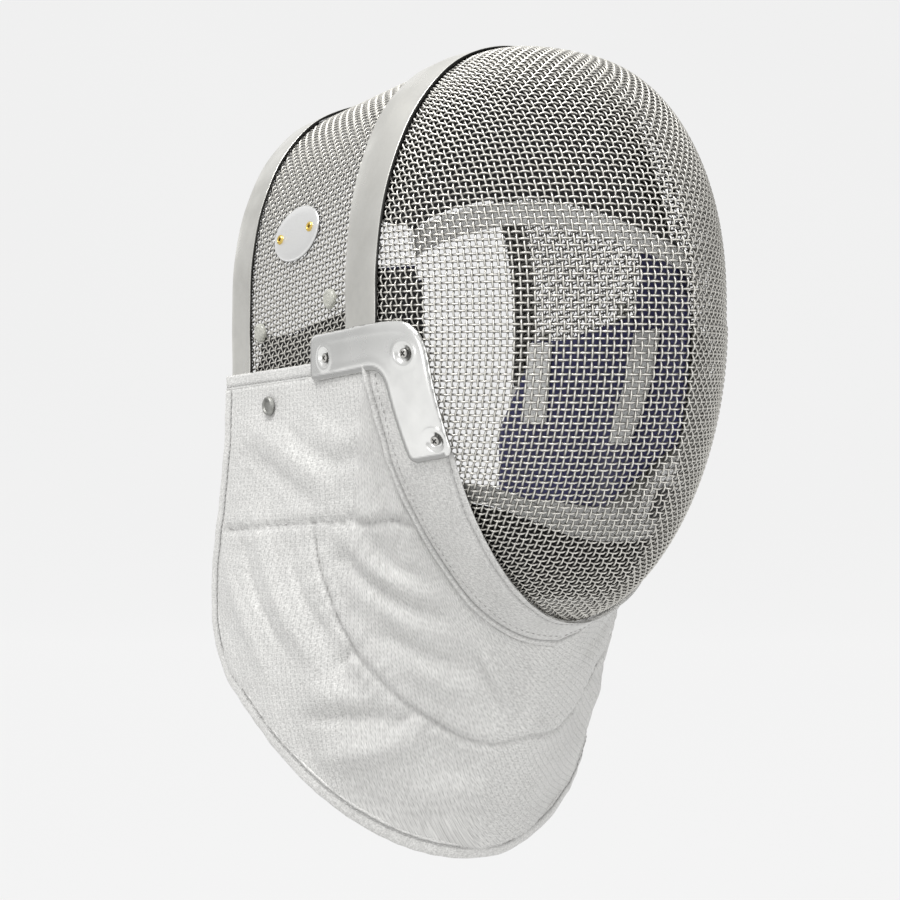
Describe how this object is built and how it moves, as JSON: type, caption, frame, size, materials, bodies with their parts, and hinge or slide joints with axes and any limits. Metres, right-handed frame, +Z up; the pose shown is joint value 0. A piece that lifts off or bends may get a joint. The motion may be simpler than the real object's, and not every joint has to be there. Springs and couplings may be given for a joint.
{
  "type": "fencing mask",
  "caption": "Sabre fencing mask: domed wire-mesh face and crown, steel bands, side brackets, padded lining and a conductive cloth bib over throat and jaw.",
  "frame": {"origin": "the seat inside the crown, just under the wire mesh, where the top of the wearer's head meets it", "axes": "+Z up; the wearer looks along -Y; +X is the wearer's left, so the badge side is -X"},
  "size_m": [0.2024, 0.24, 0.3895],
  "materials": {
    "woven_steel": "woven steel wire, bright",
    "satin_steel": "satin steel strip",
    "pressed_steel": "bright pressed steel",
    "badge_metal": "satin aluminium",
    "brass": "bright brass",
    "clear_plastic": "milky clear plastic",
    "silver_cloth": "twill cloth with steel thread",
    "navy_cloth": "brushed dark cloth",
    "black_cloth": "black padded cloth",
    "grey_binding": "grey tape",
    "grey_metal": "dull plated steel"
  },
  "bodies": {
    "root": {"badge": "badge_metal", "badge_eyelet_front": "brass", "badge_eyelet_rear": "brass", "bib": "silver_cloth", "bracket_screw_left_corner": "grey_metal", "bracket_screw_left_foot": "grey_metal", "bracket_screw_left_rear": "grey_metal", "bracket_screw_right_corner": "grey_metal", "bracket_screw_right_foot": "grey_metal", "bracket_screw_right_rear": "grey_metal", "chin_binding": "grey_binding", "chin_liner": "black_cloth", "corner_bracket_left": "pressed_steel", "corner_bracket_right": "pressed_steel", "crown_mesh": "woven_steel", "face_mesh": "woven_steel", "fastening_strip_front": "grey_binding", "fastening_strip_rear": "grey_binding", "forehead_binding": "grey_binding", "forehead_pad": "black_cloth", "front_band": "satin_steel", "hem_binding": "silver_cloth", "jaw_strip": "silver_cloth", "liner_clip_left_front": "clear_plastic", "liner_clip_left_rear": "clear_plastic", "liner_clip_right_front": "clear_plastic", "liner_clip_right_rear": "clear_plastic", "rear_band": "satin_steel", "side_liner_left": "navy_cloth", "side_liner_right": "navy_cloth", "strap_snap_left": "grey_metal", "strap_snap_right": "grey_metal", "top_binding_left": "silver_cloth", "top_binding_right": "silver_cloth"}
  },
  "joints": []
}
